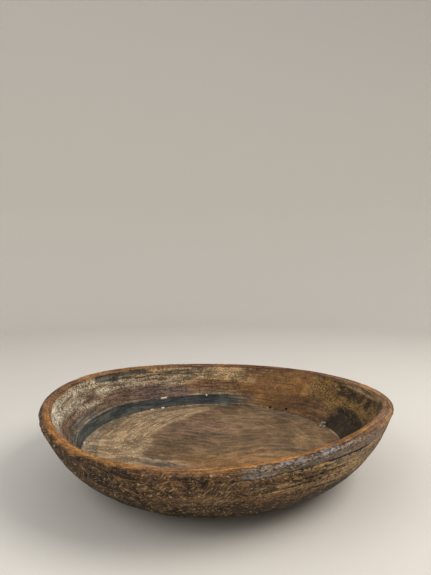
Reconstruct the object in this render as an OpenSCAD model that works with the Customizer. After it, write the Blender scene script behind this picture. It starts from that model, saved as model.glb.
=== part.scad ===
// Shallow carved bowl, hollowed out of one block of hardwood.
// Sizes are in millimetres. +Z is up, and the origin is the centre of the flat base.

/* [Rim outline] */
// Outer diameter of the rim along its long axis
rim_long = 518; // [430:1:620]
// Outer diameter of the rim along its short axis
rim_short = 482; // [410:1:580]
// Direction of the long axis, turned from +X towards +Y
long_axis_turn = 16; // [0:1:180]
// Thickness of the wall across the rim, measured level
rim_wall = 18; // [12:0.5:24]
// Height of the rim's rounded top above the wall's edges
rim_crown = 5; // [2:0.5:8]

/* [Rim height] */
// Mean height of the rim's top above the base
bowl_h = 108; // [86:1:140]
// Rise and fall of the rim where the wood has warped, two highs and two lows around it
warp = 7; // [0:0.5:10]
// Direction of one of the two highs of the warp
warp_turn = 156; // [0:1:360]
// Rise and fall of the rim left by the carving, three highs and three lows around it
carve_wave = 2; // [0:0.5:4]
// Direction of one of the three highs left by the carving
carve_wave_turn = 67; // [0:1:360]

/* [Outer wall] */
// Diameter of the flat base that the bowl rests on
base_d = 248; // [200:1:290]
// How far inside the rim the low part of the wall turns up
belly_in = 38; // [24:1:60]
// Height at which the low part of the wall starts to turn up
belly_lift = 4; // [2:0.5:12]
// How far the upper wall leans in below the rim
upper_in = 12; // [4:1:24]
// How far below the rim's edge that lean reaches
upper_drop = 21; // [10:1:34]

/* [Inside] */
// Height of the floor's edge above the base
floor_edge_h = 36; // [26:0.5:44]
// How much deeper the middle of the floor is than its edge
floor_dish = 5; // [0:0.5:10]
// Thickness of the wall at the floor's edge, measured level
corner_wall = 18; // [12:0.5:26]
// Height of the steep cove between the floor and the wall
cove_h = 17; // [8:0.5:20]
// Thickness of the wall at the top of the cove, measured level
cove_wall = 25; // [16:0.5:30]
// How far the hollow lies off centre, towards -X
hollow_shift = 7; // [0:0.5:8]

/* [Fillings] */
// Direction of the filled knot hole at the floor's edge
knot_turn = 19; // [0:1:90]
// Diameter of the filled knot hole
knot_d = 15; // [10:0.5:20]
// Depth of the filled knot hole
knot_depth = 8; // [5:0.5:11]
// How far the knot's filling stands out of its hole
knot_proud = 3; // [1:0.5:4]
// Diameter of the open hole left in the knot's filling
knot_hole_d = 4; // [2:0.5:5]
// Depth of the open hole left in the knot's filling, below the wood's surface
knot_hole_depth = 3; // [1:0.5:4]
// Directions of the three filled nicks at the floor's edge
floor_nick_turns = [122, 129, 185]; // [110:1:260]
// Length of the filled nicks at the floor's edge
floor_nick_l = 7; // [5:0.5:9]
// Direction of the long filled nick on the cove's top edge
long_nick_turn = 121; // [105:1:260]
// Length of the long filled nick
long_nick_l = 13; // [8:0.5:20]
// Direction of the round filled nick on the cove's top edge
round_nick_turn = 95; // [90:1:100]
// Width of every filled nick
nick_w = 4; // [3:0.5:5]
// Depth of every filled nick
nick_depth = 4; // [3:0.5:6]
// How far the nicks' fillings stand out of their holes
nick_proud = 1; // [0.5:0.5:2]
// Gap between the side of a filling and its hole
fill_gap = 0.1; // [0.05:0.05:0.3]

/* [Hidden] */
$fn = 48;

// Steps around the bowl, and steps along each part of its outline
around = 72;
wall_steps = 11;
crown_steps = 7;
inside_steps = 5;
cove_steps = 4;

// How far each hole's cutter starts above the wood
cutter_reach = 12;
// How steeply the holes point down into the wood, at the floor's edge and at the cove's top edge
floor_edge_dip = 50;
cove_edge_dip = 20;

// Lengths that follow from the sizes above
rim_r = (rim_long + rim_short) / 4;
oval = (rim_long - rim_short) / 4;
base_r = base_d / 2;
edge_h = bowl_h - rim_crown;
cove_top_h = floor_edge_h + cove_h;

// Point at t, from 0 to 1, along a curve with two ends and two handles
function curve(from, h1, h2, to, t) =
    from * pow(1 - t, 3)
    + h1 * 3 * t * pow(1 - t, 2)
    + h2 * 3 * pow(t, 2) * (1 - t)
    + to * pow(t, 3);

// Outline of the outer wall, as [radius, height], from the base up to the rim's edge
function outer_point(t) = curve(
    [base_r, 0],
    [rim_r - belly_in, belly_lift],
    [rim_r - upper_in, edge_h - upper_drop],
    [rim_r, edge_h],
    t);
outer_line = [for (i = [0 : wall_steps]) outer_point(i / wall_steps)];

// Radius of the outer wall at a height, and of the hollow inside it
function outer_r(h) = lookup(h, [for (p = outer_line) [p[1], p[0]]]);
function wall_at(h) = lookup(h, [
    [floor_edge_h, corner_wall],
    [cove_top_h, cove_wall],
    [edge_h, rim_wall]
]);
function inner_r(h) = outer_r(h) - wall_at(h);

// Outline of the rim's rounded top, from its outer edge to its inner edge
crown_line = [for (i = [1 : crown_steps - 1])
    let (a = 180 * i / crown_steps)
    [rim_r - rim_wall / 2 + rim_wall / 2 * cos(a), edge_h + rim_crown * sin(a)]];

// Outline of the hollow: down the wall, down the cove, then across the dished floor
wall_line = [for (i = [0 : inside_steps])
    let (h = edge_h + (cove_top_h - edge_h) * i / inside_steps)
    [inner_r(h), h]];
cove_line = [for (i = [1 : cove_steps])
    let (a = 90 * i / cove_steps)
    [inner_r(floor_edge_h) + (inner_r(cove_top_h) - inner_r(floor_edge_h)) * (1 - sin(a)),
     floor_edge_h + cove_h * cos(a)]];
floor_line = [for (share = [0.75, 0.4])
    [inner_r(floor_edge_h) * share,
     floor_edge_h - floor_dish * (1 - pow(share, 2))]];

outline = concat(outer_line, crown_line, wall_line, cove_line, floor_line);
hollow_start = len(outer_line) + len(crown_line);

// Rise of the rim in a direction, and how far the hollow is pushed sideways at a height
function rise(turn) =
    warp * cos(2 * (turn - warp_turn))
    + carve_wave * cos(3 * (turn - carve_wave_turn));
function shift_at(h) = hollow_shift * min(1, (edge_h - h) / (edge_h - floor_edge_h));

// Place in space of an outline point in a direction
function spot(p, turn, shift) =
    let (r = p[0] * (1 + oval / rim_r * cos(2 * (turn - long_axis_turn))))
    [r * cos(turn) - shift, r * sin(turn), p[1] + rise(turn) * p[1] / bowl_h];

rings = [for (k = [0 : len(outline) - 1])
    let (p = outline[k], shift = k < hollow_start ? 0 : shift_at(p[1]))
    for (j = [0 : around - 1])
        spot(p, 360 * j / around, shift)];
floor_middle = [-hollow_shift, 0, floor_edge_h - floor_dish];

// Places of the floor's edge and of the cove's top edge in a direction
function floor_edge(turn) = spot([inner_r(floor_edge_h), floor_edge_h], turn, shift_at(floor_edge_h));
function cove_edge(turn) = spot([inner_r(cove_top_h), cove_top_h], turn, shift_at(cove_top_h));

// Every filled nick, as [place, direction, dip, length]; one as long as it is wide is round
nicks = concat(
    [for (turn = floor_nick_turns) [floor_edge(turn), turn, floor_edge_dip, floor_nick_l]],
    [[cove_edge(long_nick_turn), long_nick_turn, cove_edge_dip, long_nick_l]],
    [[cove_edge(round_nick_turn), round_nick_turn, cove_edge_dip, nick_w]]);

// The block after turning it into a bowl: rings of points around the outline, joined in order
module carved_block() {
    last = len(outline) - 1;
    middle = len(rings);
    base_face = [[for (j = [0 : around - 1]) j]];
    side_faces = [for (k = [0 : last - 1], j = [0 : around - 1])
        let (a = k * around + j, b = k * around + (j + 1) % around)
        [a, a + around, b + around, b]];
    floor_faces = [for (j = [0 : around - 1])
        [last * around + j, middle, last * around + (j + 1) % around]];
    polyhedron(
        points = concat(rings, [floor_middle]),
        faces = concat(base_face, side_faces, floor_faces),
        convexity = 4);
}

// Stands its children at a place in the hollow's surface, with +Z pointing down into the wood
module into_wood(place, turn, dip) {
    translate(place)
        rotate([0, 90 + dip, turn])
            children();
}

// A round-ended slot, its length along Y, from z0 to z1; one as long as it is wide is a round hole
module slot(length, width, z0, z1) {
    half = (length - width) / 2;
    for (side = half > 0 ? [-1, 1] : [0])
        translate([0, side * half, z0])
            cylinder(h = z1 - z0, d = width);
    if (half > 0)
        translate([-width / 2, -half, z0])
            cube([width, 2 * half, z1 - z0]);
}

// The cutter for a hole, open above the wood, and the filling that fits the hole
module hole(length, width, depth) {
    slot(length, width, -cutter_reach, depth);
}
module filling(length, width, depth, proud) {
    slot(length - 2 * fill_gap, width - 2 * fill_gap, -proud, depth);
}

module bowl_body() {
    color("saddlebrown")
        difference() {
            carved_block();
            into_wood(floor_edge(knot_turn), knot_turn, floor_edge_dip)
                hole(knot_d, knot_d, knot_depth);
            for (n = nicks)
                into_wood(n[0], n[1], n[2])
                    hole(n[3], nick_w, nick_depth);
        }
}

module knot_filler() {
    color("tan")
        into_wood(floor_edge(knot_turn), knot_turn, floor_edge_dip)
            difference() {
                filling(knot_d, knot_d, knot_depth, knot_proud);
                translate([-knot_d / 6, knot_d / 6, -cutter_reach])
                    cylinder(h = cutter_reach + knot_hole_depth, d = knot_hole_d);
            }
}

module nick_fillings() {
    color("wheat")
        for (n = nicks)
            into_wood(n[0], n[1], n[2])
                filling(n[3], nick_w, nick_depth, nick_proud);
}

bowl_body();
knot_filler();
nick_fillings();
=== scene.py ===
import math

import bmesh
import bpy
import numpy as np
from mathutils import Matrix, Vector, noise


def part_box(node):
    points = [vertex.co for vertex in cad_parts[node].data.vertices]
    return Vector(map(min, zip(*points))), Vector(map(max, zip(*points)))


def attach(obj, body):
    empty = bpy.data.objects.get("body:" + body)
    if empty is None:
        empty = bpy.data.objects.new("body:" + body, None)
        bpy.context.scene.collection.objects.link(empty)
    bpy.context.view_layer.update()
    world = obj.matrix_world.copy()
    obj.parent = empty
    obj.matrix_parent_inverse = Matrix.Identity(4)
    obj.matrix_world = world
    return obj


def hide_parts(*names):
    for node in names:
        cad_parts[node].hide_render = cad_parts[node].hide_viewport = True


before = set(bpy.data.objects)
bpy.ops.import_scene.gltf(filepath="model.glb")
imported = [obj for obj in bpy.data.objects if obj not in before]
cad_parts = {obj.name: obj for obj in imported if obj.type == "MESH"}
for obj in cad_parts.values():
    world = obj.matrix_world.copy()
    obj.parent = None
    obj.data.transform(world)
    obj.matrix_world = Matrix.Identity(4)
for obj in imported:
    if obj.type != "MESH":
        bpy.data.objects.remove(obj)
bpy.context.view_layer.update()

# ---------------------------------------------------------------- sizes
# Lengths are in metres and directions in degrees, turned from +X towards +Y.
LOW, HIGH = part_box("bowl_body")

# Rim outline and height, taken from the frame's own box
RIM_R = (HIGH.x - LOW.x + HIGH.y - LOW.y) / 4
OVAL = 0.009
LONG_AXIS_TURN = 16
RIM_WALL = 0.018
RIM_CROWN = 0.005
WARP = 0.007
WARP_TURN = 156
CARVE_WAVE = 0.002
CARVE_WAVE_TURN = 67
BOWL_H = HIGH.z - 0.0075
EDGE_H = BOWL_H - RIM_CROWN

# Outer wall
BASE_R = 0.124
BELLY_IN = 0.038
BELLY_LIFT = 0.004
UPPER_IN = 0.012
UPPER_DROP = 0.021

# Hollow
FLOOR_EDGE_H = 0.036
FLOOR_DISH = 0.005
CORNER_WALL = 0.018
COVE_TOP_H = 0.053
COVE_WALL = 0.025
HOLLOW_SHIFT = 0.007
# How far the cove's top is lifted at the back left, and how much thinner its wall is away from
# the left. Each stretch of directions is (first, last, softness).
COVE_LIFT = 0.003
COVE_LIFT_TURNS = (146, 160, 36)
COVE_THINNING = 0.005
COVE_THICK_TURNS = (84, 238, 34)

# Fillings
FLOOR_EDGE_DIP = 50
COVE_EDGE_DIP = 20
KNOT_TURN = 19
KNOT_R = 0.0074
KNOT_DEPTH = 0.008
KNOT_LEVEL = 0.0008
# The open hole in the knot's filling, and the crumbs on it, as (x, y, size)
KNOT_HOLE = (-0.0032, -0.0040, 0.0019)
KNOT_LUMPS = (
    (-0.0024, 0.0046, 0.0034),
    (0.0018, -0.0046, 0.0034),
    (0.0034, 0.0040, 0.0028),
    (-0.0056, 0.0010, 0.0018),
)
FLOOR_NICK_TURNS = (122, 129, 185)
FLOOR_NICK_L = 0.007
LONG_NICK_TURN = 121
LONG_NICK_L = 0.013
ROUND_NICK_TURN = 95
NICK_W = 0.0038
NICK_DEPTH = 0.004
NICK_PROUD = 0.001
# How deep the wood is sunk round each filling
KNOT_SUNK = 0.006
NICK_SUNK = 0.0025
# Lumps per metre in a filling's rough surface, and how deep the pit in the knot's filling is
CRUMB_SCALE = 420
KNOT_HOLE_DEPTH = 0.0035

# Worm holes, as (way along the outline, direction)
WORM_HOLES = ((3.74, 46.5), (3.90, 56.0))
WORM_HOLE_R = 0.0016
WORM_HOLE_DEPTH = 0.005
WORM_HOLE_DIP = 10

# Wear on the rim: how far its outer shoulder is rounded back at the two ends of the bowl, how far
# its front has sunk, and the height above which that shows
SHOULDER_WORN = 0.0036
FRONT_SAG = 0.0042
FRONT_SAG_TURNS = (-152, -52, 44)
SAG_FROM_H = 0.088

# Point that the scraper's arcs on the floor turn about
SCRAPE_X = 0.12
SCRAPE_Y = -0.03
# Beyond this distance from the middle, and right of this line, they turn into rings
RINGS_FROM_R = 0.13
RINGS_FROM_X = -0.02

# Cracks below the rim, as (height on the outline, first direction, last direction, strength)
CRACKS = (
    (0.0884, -66, -34, 1.0),
    (0.0884, -102, -50, 0.5),
    (0.0765, -76, -42, 0.6),
    (0.0660, -94, -50, 0.45),
    (0.0560, -70, -44, 0.5),
)
CRACK_HALF_W = 0.0013
CRACK_DEPTH = 0.0032
# Bends of a crack on its way around the bowl, as (height, pace, start)
CRACK_BENDS = ((0.0016, 2.1, 0.6), (0.0006, 11, 0), (0.0003, 31, 0))
# Degrees that a metre of height shifts a crack's bends by, so that no two bend alike
CRACK_SHIFT = 9000
# How far up and down the wall a crack pulls the rings with it
CRACK_PULL = 0.0095

# Steps around the bowl, and the distance between rings on each part of the outline
AROUND = 444
WALL_STEP = 0.0024
RIM_STEP = 0.0013
HOLLOW_STEP = 0.0017
FLOOR_STEP = 0.0024
# Ways of the rings across the underside
BASE_RINGS = (-1.0, -0.7, -0.4, -0.15, -0.04, 0.0)
# Rings beside each crack, in millimetres from it, and the way past them that stays free of others
CRACK_RINGS = (-2.2, -1.3, -0.6, 0, 0.6, 1.3, 2.2)
CRACK_RINGS_GAP = 0.006
# Rings at the floor's edge, in metres inside it. The others spread apart towards the middle, and
# stop inside a small radius.
FLOOR_EDGE_RINGS = (0.0, 0.0008, 0.0018)
FLOOR_SPREAD = 0.006
FLOOR_LAST_R = 0.012
# Points closer than this become one
MERGE_DIST = 1e-6
# Places where the mesh is finer, as (way, direction, reach, cuts)
FINER_PLACES = (
    (4, KNOT_TURN, 0.016, 3),
    *((4, turn, 0.008, 2) for turn in FLOOR_NICK_TURNS),
    (3, LONG_NICK_TURN, 0.012, 2),
    (3, ROUND_NICK_TURN, 0.006, 2),
    *((way, turn, 0.006, 3) for way, turn in WORM_HOLES),
)
# How far above and below its place a hole sinks the wood
PIT_REACH = 0.02
# Shift of the noise from one seed to the next
SEED_SHIFT = (17.3, 5.9, 11.1)


# ---------------------------------------------------------------- outline
def ease(x):
    """0 below 0, 1 above 1, and a smooth rise between."""
    x = np.clip(x, 0.0, 1.0)
    return x * x * (3 - 2 * x)


def curve(a, b, c, d, t):
    return a * (1 - t) ** 3 + b * 3 * t * (1 - t) ** 2 + c * 3 * t**2 * (1 - t) + d * t**3


SHARES = np.linspace(0, 1, 240)
OUTER_R = curve(BASE_R, RIM_R - BELLY_IN, RIM_R - UPPER_IN, RIM_R, SHARES)
OUTER_H = curve(0, BELLY_LIFT, EDGE_H - UPPER_DROP, EDGE_H, SHARES)


def outer_r(h):
    return np.interp(h, OUTER_H, OUTER_R)


def on_outline(way, cove_top=COVE_TOP_H, cove_wall=COVE_WALL):
    """Radius and height at a way along the outline.

    The way runs from -1 under the middle to 0 at the base's edge, 1 and 2 at the rim's
    outer and inner edge, 3 at the cove's top, 4 at the floor's edge and 5 at its middle.
    """
    crown = np.pi * (way - 1)
    wall_share = way - 2
    wall_h = EDGE_H + (cove_top - EDGE_H) * wall_share
    wall_r = outer_r(wall_h) - RIM_WALL - (cove_wall - RIM_WALL) * wall_share
    top_r = outer_r(cove_top) - cove_wall
    corner_r = outer_r(FLOOR_EDGE_H) - CORNER_WALL
    cove_share = way - 3
    floor_share = 5 - way
    parts = [way < 0, way < 1, way < 2, way < 3, way < 4]
    r = np.select(
        parts,
        [
            BASE_R * (1 + way),
            outer_r(way * EDGE_H),
            RIM_R - RIM_WALL / 2 * (1 - np.cos(crown)),
            wall_r,
            top_r + (corner_r - top_r) * cove_share,
        ],
        corner_r * floor_share,
    )
    h = np.select(
        parts,
        [
            0 * way,
            way * EDGE_H,
            EDGE_H + RIM_CROWN * np.sin(crown),
            wall_h,
            cove_top + (FLOOR_EDGE_H - cove_top) * cove_share,
        ],
        FLOOR_EDGE_H - FLOOR_DISH * (1 - floor_share**2),
    )
    return r, h


def cosd(turn):
    return np.cos(np.radians(turn))


def rise(turn):
    """Rise of the rim in a direction."""
    return WARP * cosd(2 * (turn - WARP_TURN)) + CARVE_WAVE * cosd(3 * (turn - CARVE_WAVE_TURN))


def off(turn, middle):
    """Degrees from a middle direction to a turn, between -180 and 180."""
    return (turn - middle + 180) % 360 - 180


def within(value, low, high, soft):
    """1 between low and high, easing to 0 across soft at either end."""
    return ease((value - low) / soft + 0.5) * ease((high - value) / soft + 0.5)


def facing(turn, first, last, soft):
    """1 in the directions between first and last, easing to 0 across soft degrees."""
    middle = (first + last) / 2
    half = (last - first) / 2
    return within(off(turn, middle), -half, half, soft)


def place(way, turn):
    """Places in space of points on the outline, in their directions."""
    cove_top = COVE_TOP_H + COVE_LIFT * facing(turn, *COVE_LIFT_TURNS)
    thinned = 1 - facing(turn, *COVE_THICK_TURNS)
    r, h = on_outline(way, cove_top, COVE_WALL - COVE_THINNING * thinned)
    r = r - SHOULDER_WORN * np.abs(cosd(turn)) ** 3 * within(way, 0.86, 1.4, 0.4)
    sagging = FRONT_SAG * facing(turn, *FRONT_SAG_TURNS)
    h = h - sagging * ease((h - SAG_FROM_H) / (BOWL_H - SAG_FROM_H))
    r = r * (1 + OVAL / RIM_R * cosd(2 * (turn - LONG_AXIS_TURN)))
    pushed = HOLLOW_SHIFT * np.clip((EDGE_H - h) / (EDGE_H - FLOOR_EDGE_H), 0, 1)
    x = r * cosd(turn) - np.where(way > 2, pushed, 0)
    y = r * np.sin(np.radians(turn))
    return np.stack([x, y, h * (1 + rise(turn) / BOWL_H)], axis=-1)


def run_along(ways):
    """Distance covered along the outline at each of its ways."""
    r, h = on_outline(ways)
    return np.concatenate([[0], np.cumsum(np.hypot(np.diff(r), np.diff(h)))])


def rings(first, last, step):
    """Ways after first, up to last, about a step apart along the outline."""
    ways = np.linspace(first, last, 500)
    run = run_along(ways)
    count = max(1, round(run[-1] / step))
    return list(np.interp(np.linspace(0, run[-1], count + 1), run, ways)[1:])


def wall_rings():
    """Rings on the outer wall, close together at the crack and the checks."""
    ways = rings(0, 1, WALL_STEP)
    for h in sorted({crack[0] for crack in CRACKS}):
        near = [(h + mm / 1000) / EDGE_H for mm in CRACK_RINGS]
        first, last = near[0] - CRACK_RINGS_GAP, near[-1] + CRACK_RINGS_GAP
        ways = [w for w in ways if not first < w < last] + near
    return sorted(ways)


def floor_rings():
    """Rings across the floor, further apart towards the middle."""
    edge_r = on_outline(np.array(4.0))[0]
    radii = [edge_r - inside for inside in FLOOR_EDGE_RINGS]
    while radii[-1] > FLOOR_LAST_R:
        radii.append(radii[-1] - FLOOR_STEP - FLOOR_SPREAD * (1 - radii[-1] / edge_r) ** 2)
    return [5 - r / edge_r for r in radii[1:]] + [5.0]


# ---------------------------------------------------------------- the bowl's mesh
def field(points, size, seed=0):
    """Smooth noise from about -1 to 1, in lumps of the given size."""
    scaled = points / np.array(size) + np.array(SEED_SHIFT) * (seed + 1)
    return np.array([noise.noise(Vector(p)) for p in scaled])


def layered(points, size, seed=0, layers=3):
    """Noise with finer and fainter noise added to it."""
    total = np.zeros(len(points))
    for k in range(layers):
        total += field(points, np.array(size) / 2**k, seed + 10 * k) / 2**k
    return total


def spin_line(bm, points, steps):
    """Joins points into a line and turns it once around Z."""
    for a, b in zip(points, points[1:]):
        bm.edges.new((a, b))
    bmesh.ops.spin(
        bm,
        geom=bm.verts[:] + bm.edges[:],
        cent=(0, 0, 0),
        axis=(0, 0, 1),
        angle=2 * math.pi,
        steps=steps,
        use_merge=True,
    )
    bmesh.ops.remove_doubles(bm, verts=bm.verts, dist=MERGE_DIST)
    bmesh.ops.recalc_face_normals(bm, faces=bm.faces)


def finished(bm, name):
    """The mesh that a bmesh has become."""
    mesh = bpy.data.meshes.new(name)
    bm.to_mesh(mesh)
    bm.free()
    return mesh


def spun_bowl():
    """The outline turned once around, with each point's way along it kept in a layer."""
    ways = list(BASE_RINGS)
    ways += wall_rings()
    ways += rings(1, 2, RIM_STEP)
    ways += rings(2, 3, HOLLOW_STEP)
    ways += rings(3, 4, HOLLOW_STEP)
    ways += floor_rings()
    r, h = on_outline(np.array(ways))
    bm = bmesh.new()
    kept_way = bm.verts.layers.float.new("way")
    points = []
    for k, way in enumerate(ways):
        point = bm.verts.new((r[k], 0, h[k]))
        point[kept_way] = way
        points.append(point)
    spin_line(bm, points, AROUND)
    return bm


def refine_near(bm, way, turn, reach, cuts):
    """Finer mesh within reach of a place on the outline, for a pit or a hole."""
    r, h = on_outline(np.array(float(way)))
    middle = Vector((r * cosd(turn), r * math.sin(math.radians(turn)), h))
    near = [e for e in bm.edges if all((v.co - middle).length < reach for v in e.verts)]
    bmesh.ops.subdivide_edges(bm, edges=near, cuts=cuts, use_grid_fill=True)


class Surface:
    """The bowl's points as arrays: way, turn, place, and coordinates that run around it."""

    def __init__(self, mesh):
        count = len(mesh.vertices)
        spun = np.empty(count * 3)
        mesh.vertices.foreach_get("co", spun)
        spun = spun.reshape(-1, 3)
        way = np.empty(count)
        mesh.attributes["way"].data.foreach_get("value", way)
        self.mesh = mesh
        self.way = way
        self.turn = np.degrees(np.arctan2(spun[:, 1], spun[:, 0]))
        self.spot = place(way, self.turn)
        ways = np.linspace(-1, 5, 1200)
        self.run = np.interp(way, ways, run_along(ways))
        turned = np.radians(self.turn)
        self.around = np.stack([RIM_R * np.cos(turned), RIM_R * np.sin(turned), self.run], axis=-1)
        x, y = self.spot[:, 0], self.spot[:, 1]
        from_middle = np.hypot(x + HOLLOW_SHIFT, y)
        swept = np.hypot(x - SCRAPE_X, y - SCRAPE_Y) - SCRAPE_X
        far_out = ease((from_middle - RINGS_FROM_R) / 0.05)
        rounded = np.maximum(far_out, ease((x - RINGS_FROM_X) / 0.08))
        swept += rounded * (from_middle - swept)
        on_floor = np.stack([x, y, -swept], axis=-1)
        self.around = np.where((way > 4.0001)[:, None], on_floor, self.around)

    def push(self, depths):
        """Moves every point along its own normal."""
        self.store()
        normals = np.empty(len(self.way) * 3)
        self.mesh.vertex_normals.foreach_get("vector", normals)
        self.spot = self.spot + normals.reshape(-1, 3) * depths[:, None]

    def store(self):
        self.mesh.vertices.foreach_set("co", self.spot.ravel())
        self.mesh.update()

    def keep(self, name, values):
        """Stores three values for every point, for the materials to read."""
        kept = self.mesh.attributes.new(name, "FLOAT_VECTOR", "POINT")
        kept.data.foreach_set("vector", np.ascontiguousarray(values, dtype=np.float32).ravel())


def crack_line(turn):
    """How far a crack strays from its mean height in a direction."""
    x = np.radians(turn)
    return sum(height * np.sin(pace * x + start) for height, pace, start in CRACK_BENDS)


def slide_wall(surface):
    """Slides the rings near each crack along the wall, so that one ring follows the crack."""
    for h in sorted({crack[0] for crack in CRACKS}):
        wanted = crack_line(surface.turn + h * CRACK_SHIFT) / EDGE_H
        tent = np.clip(1 - np.abs(surface.way * EDGE_H - h) / CRACK_PULL, 0, 1)
        surface.way = surface.way + wanted * tent * (surface.way < 1)
    surface.spot = place(surface.way, surface.turn)


def crack_depth(surface):
    """Depth of the crack and checks, from 0 to 1, before they are cut."""
    turn = surface.turn
    way_h = surface.way * EDGE_H
    total = np.zeros(len(turn))
    broken = field(surface.around * np.array([1, 1, 0]), 0.012, 41)
    for h, first, last, strength in CRACKS:
        middle = h + crack_line(turn + h * CRACK_SHIFT)
        width = CRACK_HALF_W * (1 + 0.35 * broken)
        groove = np.clip(1 - np.abs(way_h - middle) / width, 0, 1)
        ends = facing(turn, first + 5, last - 5, 14)
        gaps = ease(1.1 + 2.2 * broken) if strength < 1 else 1
        total = np.maximum(total, groove * ends * strength * gaps * (surface.way < 1))
    return total


def relief(surface):
    """Height of the worn, hand-cut surface above the true outline, in metres."""
    way, turn, around, spot = surface.way, surface.turn, surface.around, surface.spot
    outer = within(way, 0.02, 1.05, 0.08)
    crown = within(way, 1.0, 2.0, 0.3)
    hollow = within(way, 2.05, 4.0, 0.1)
    floor = within(way, 4.02, 5.2, 0.02)
    above_base = ease(way / 0.06)

    # Slow waves and tool facets
    total = 0.0007 * field(spot, 0.08, 1) * above_base
    total += 0.0004 * field(around, (0.05, 0.05, 0.016), 2) * outer
    total += 0.0003 * field(around, (0.07, 0.07, 0.012), 3) * hollow
    total += 0.0003 * field(spot, (0.09, 0.02, 0.02), 4) * floor

    # Chips along the rim's outer edge, and small dents across its top
    chips = layered(around, (0.016, 0.016, 0.006), 5)
    chipped = 0.2 + 0.8 * facing(turn, -140, -34, 20)
    total -= 0.0014 * ease((chips - 0.30) / 0.25) * within(way, 0.90, 1.25, 0.12) * chipped
    dents = field(around, (0.007, 0.007, 0.03), 6)
    total -= 0.0007 * ease((dents - 0.33) / 0.2) * crown
    total += 0.0004 * layered(spot, 0.02, 7) * crown

    # Step and lip just inside the rim, clearest on the left
    lip = 0.35 + 0.65 * facing(turn, 105, 245, 40)
    total -= 0.0011 * within(way, 2.035, 2.075, 0.03) * lip
    total += 0.0006 * within(way, 2.09, 2.12, 0.04) * lip

    # Fine ridges left by the scraper on the lower wall and at the cove's top edge
    left = facing(turn, 128, 245, 40)
    ridge = np.sin(2 * np.pi * (way - 2) / 0.075 + 0.8 * field(around, (0.2, 0.2, 0.05), 8))
    total += 0.00035 * ridge * within(way, 2.62, 3.0, 0.12) * left
    total += 0.0008 * within(way, 2.975, 3.02, 0.05) * facing(turn, 90, 250, 20)
    total -= 0.0008 * within(way, 3.1, 3.85, 0.4) * facing(turn, 88, 250, 20)
    total += 0.00022 * np.sin(2 * np.pi * way / 0.22) * within(way, 3.05, 3.9, 0.1) * left

    # Scooped place low on the right, with a sharp top edge
    scoop_top = 2.80 - 0.10 * facing(turn, 14, 40, 20) + 0.03 * field(around, (0.04, 0.04, 0.1), 9)
    scoop = ease((way - scoop_top) / 0.05) * ease((4.0 - way) / 0.5) * facing(turn, -42, 24, 14)
    total -= 0.0016 * scoop

    # Floor: a raised lip at its edge, arcs from the scraper, and hollows worn along the grain
    total += 0.0005 * within(way, 4.0, 4.008, 0.012)
    total -= 0.0005 * within(way, 4.022, 4.04, 0.02)
    arcs = field(around * np.array([0.25, 0.25, 1.0]), (0.06, 0.06, 0.0035), 12)
    total += 0.00035 * arcs * within(way, 4.03, 4.42, 0.1) * facing(turn, 118, 250, 50)
    total += 0.00025 * layered(spot, (0.07, 0.009, 0.05), 13, 2) * floor

    # Rough outer wall, worn smoother on the right
    total += 0.0004 * layered(spot, 0.013, 15, 2) * outer * (1 - 0.4 * facing(turn, -60, 60, 30))

    # Pits and worn spots, everywhere
    pits = field(spot, 0.006, 14)
    total -= 0.0004 * ease((pits - 0.42) / 0.2) * above_base * (1 - 0.5 * floor)

    total -= CRACK_DEPTH * crack_depth(surface)
    total[way <= 0.0] = 0
    return total


def into_wood(way, turn, dip):
    """Place on the outline with +Z pointing down into the wood, as a matrix."""
    spot = Vector(place(np.array(float(way)), np.array(float(turn))))
    turned = Matrix.Rotation(math.radians(turn), 4, "Z")
    tipped = Matrix.Rotation(math.radians(90 + dip), 4, "Y")
    return Matrix.Translation(spot) @ turned @ tipped


def nick_places():
    """Every filled nick, as (matrix, length)."""
    nicks = [(into_wood(4, turn, FLOOR_EDGE_DIP), FLOOR_NICK_L) for turn in FLOOR_NICK_TURNS]
    nicks.append((into_wood(3, LONG_NICK_TURN, COVE_EDGE_DIP), LONG_NICK_L))
    nicks.append((into_wood(3, ROUND_NICK_TURN, COVE_EDGE_DIP), NICK_W))
    return nicks


def press_pits(surface):
    """Sinks the wood where the fillings sit, and at the worm holes."""
    holes = [(into_wood(4, KNOT_TURN, FLOOR_EDGE_DIP), KNOT_R, KNOT_R, KNOT_SUNK)]
    for matrix, length in nick_places():
        holes.append((matrix, NICK_W / 2, length / 2, NICK_SUNK))
    for way, turn in WORM_HOLES:
        matrix = into_wood(way, turn, WORM_HOLE_DIP)
        holes.append((matrix, WORM_HOLE_R, WORM_HOLE_R, WORM_HOLE_DEPTH))
    for matrix, half_x, half_y, depth in holes:
        local = (surface.spot - np.array(matrix.translation)) @ np.array(matrix.to_3x3())
        away = np.hypot(local[:, 0] / half_x, local[:, 1] / half_y)
        near = (np.abs(local[:, 2]) < PIT_REACH) & (surface.way > 2)
        sunk = depth * ease((1.15 - away) / 0.3) * near
        surface.spot = surface.spot + np.outer(sunk, np.array(matrix.to_3x3().col[2]))
    surface.store()


# ---------------------------------------------------------------- colours of the bowl
def srgb(red, green, blue):
    """A colour given as it is seen, from 0 to 255, as the linear values that shaders use."""
    return tuple(((c / 255 + 0.055) / 1.055) ** 2.4 for c in (red, green, blue))


def finish(pale, dark):
    """The two colours that the grain of a finish mixes."""
    return srgb(*pale), srgb(*dark)


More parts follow.
